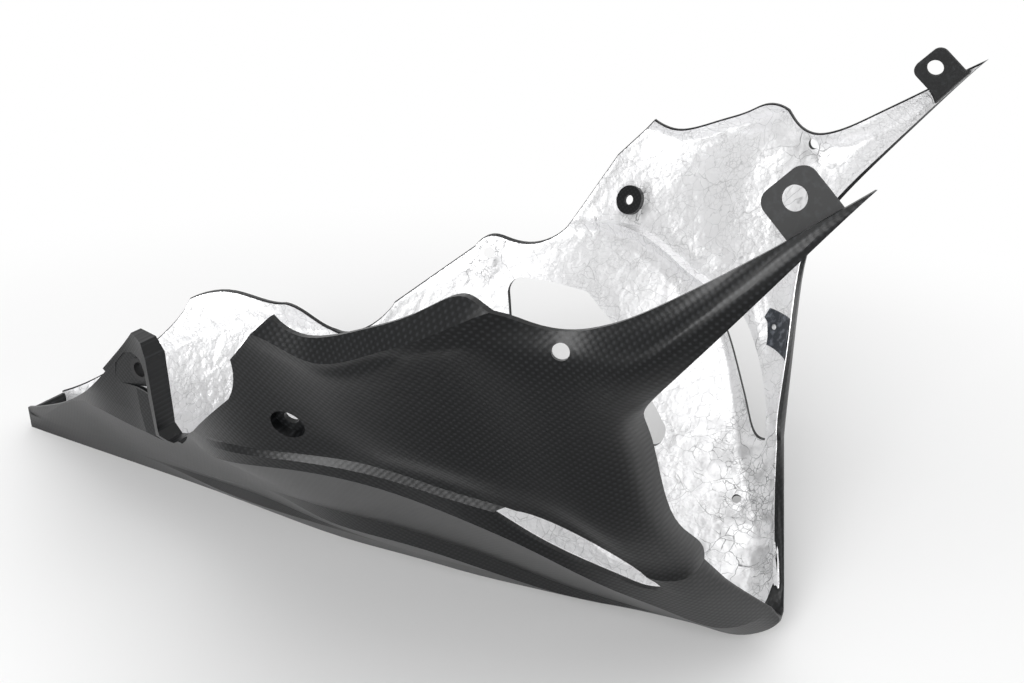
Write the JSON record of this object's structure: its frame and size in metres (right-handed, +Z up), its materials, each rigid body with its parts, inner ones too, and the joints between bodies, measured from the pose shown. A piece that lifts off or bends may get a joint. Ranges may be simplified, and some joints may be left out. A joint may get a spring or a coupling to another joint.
{
  "type": "motorcycle belly pan",
  "caption": "Thin boat-shaped motorcycle belly pan with stepped flanks, air slots, horns with bonded brackets and a foil-lined inside.",
  "frame": {"origin": "on the ground under the middle of the whole length, on the middle plane", "axes": "+X towards the nose, +Y to the motorcycle's left, +Z up; the keel stands on Z = 0"},
  "size_m": [0.6006, 0.4022, 0.2957],
  "materials": {
    "carbon": "satin clear-coated woven carbon laminate",
    "foil": "crinkled bright foil",
    "bracket": "satin black",
    "clip": "dark spring steel",
    "bush": "black"
  },
  "bodies": {
    "root": {"pan_shell": "carbon", "foil_floor": "foil", "foil_left": "foil", "foil_right": "foil", "horn_bracket_left": "bracket", "horn_bracket_right": "bracket", "edge_clip": "clip", "boss_bush": "bush"}
  },
  "joints": []
}
